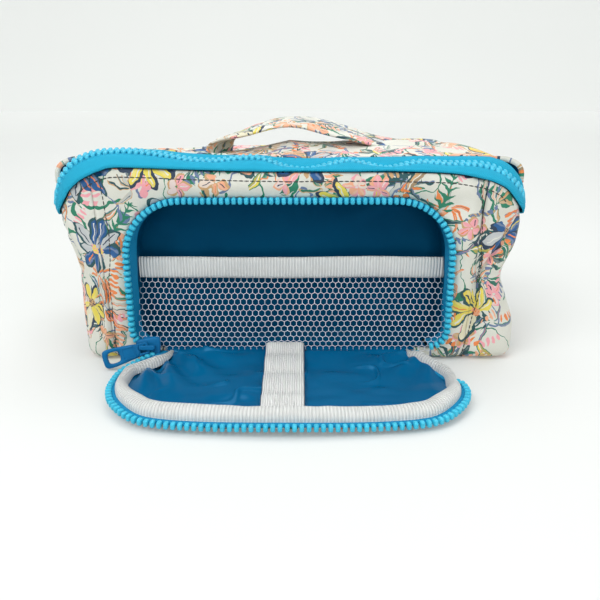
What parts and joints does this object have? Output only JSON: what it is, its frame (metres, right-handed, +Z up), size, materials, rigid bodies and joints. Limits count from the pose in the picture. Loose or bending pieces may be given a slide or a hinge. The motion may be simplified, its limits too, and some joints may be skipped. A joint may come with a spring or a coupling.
{
  "type": "travel pill organizer bag",
  "caption": "Small padded zip bag with a fold-down front flap, mesh pocket, zip lid and top strap handle for pills and small bottles.",
  "frame": {"origin": "centre of the bag's bottom, on the surface it stands on", "axes": "X to the right along the width, Y to the back (the flap opens towards -Y), Z up"},
  "size_m": [0.2054, 0.151, 0.1011],
  "materials": {
    "print": "printed cotton twill with a light sheen",
    "lining": "smooth coated nylon",
    "board": "matt stiffener board",
    "foam": "thin foam padding",
    "elastic": "woven elastic",
    "binding": "ribbed grosgrain",
    "mesh": "hexagonal knitted net",
    "front_tape": "woven zip tape",
    "top_tape": "woven zip tape",
    "teeth": "moulded acetal, satin gloss",
    "slider": "moulded plastic, satin"
  },
  "bodies": {
    "bag": {"front_panel": "print", "back_panel": "print", "side_panel_left": "print", "side_panel_right": "print", "bottom_panel": "print", "base_board": "board", "main_lining": "lining", "front_pocket_lining": "lining", "bottle_band": "elastic", "front_zip_tape": "front_tape", "front_zip_teeth": "teeth", "mesh_pocket": "mesh", "mesh_binding": "binding", "top_zip_tape": "top_tape", "top_zip_teeth": "teeth"},
    "flap": {"flap_outer": "print", "flap_padding": "foam", "flap_lining": "lining", "flap_zip_tape": "front_tape", "flap_binding": "binding", "flap_zip_teeth": "teeth", "flap_elastic": "elastic"},
    "lid": {"lid_panel": "print", "lid_lining": "lining", "lid_zip_tape": "top_tape", "lid_zip_teeth": "teeth"},
    "handle": {"handle_strap": "print"},
    "front_slider": {"front_slider": "slider"},
    "front_pull": {"front_pull": "slider"},
    "top_slider": {"top_slider": "slider"},
    "top_pull": {"top_pull": "slider"}
  },
  "joints": [
    {"name": "flap_fold", "type": "hinge", "parent": "bag", "child": "flap", "pos_m": [0, -0.0441, 0.005], "axis": [-1, 0, 0], "range_deg": [0, 92.5]},
    {"name": "front_slider_run", "type": "hinge", "parent": "bag", "child": "front_slider", "pos_m": [-0.061, -0.0441, 0.0155], "axis": [0, 1, 0], "range_deg": [0, 90]},
    {"name": "front_pull_swing", "type": "hinge", "parent": "front_slider", "child": "front_pull", "pos_m": [-0.061, -0.04946, 0.00901], "axis": [-0.2854, 0.2992, 0.9105], "range_deg": [0, 150]},
    {"name": "lid_open", "type": "hinge", "parent": "bag", "child": "lid", "pos_m": [0, 0.0432, 0.05697], "axis": [-1, 0, 0], "range_deg": [0, 110]},
    {"name": "top_slider_run", "type": "slide", "parent": "bag", "child": "top_slider", "axis": [0, -0.9989, 0.0471], "range_m": [0, 0.038]},
    {"name": "top_pull_swing", "type": "hinge", "parent": "top_slider", "child": "top_pull", "pos_m": [0.10385, 0.02143, 0.05799], "axis": [0, -0.0471, -0.9989], "range_deg": [0, 150]},
    {"name": "handle_swing", "type": "hinge", "parent": "lid", "child": "handle", "pos_m": [0.019, 0.002, 0.0889], "axis": [1, 0, 0], "range_deg": [-30, 30]}
  ]
}
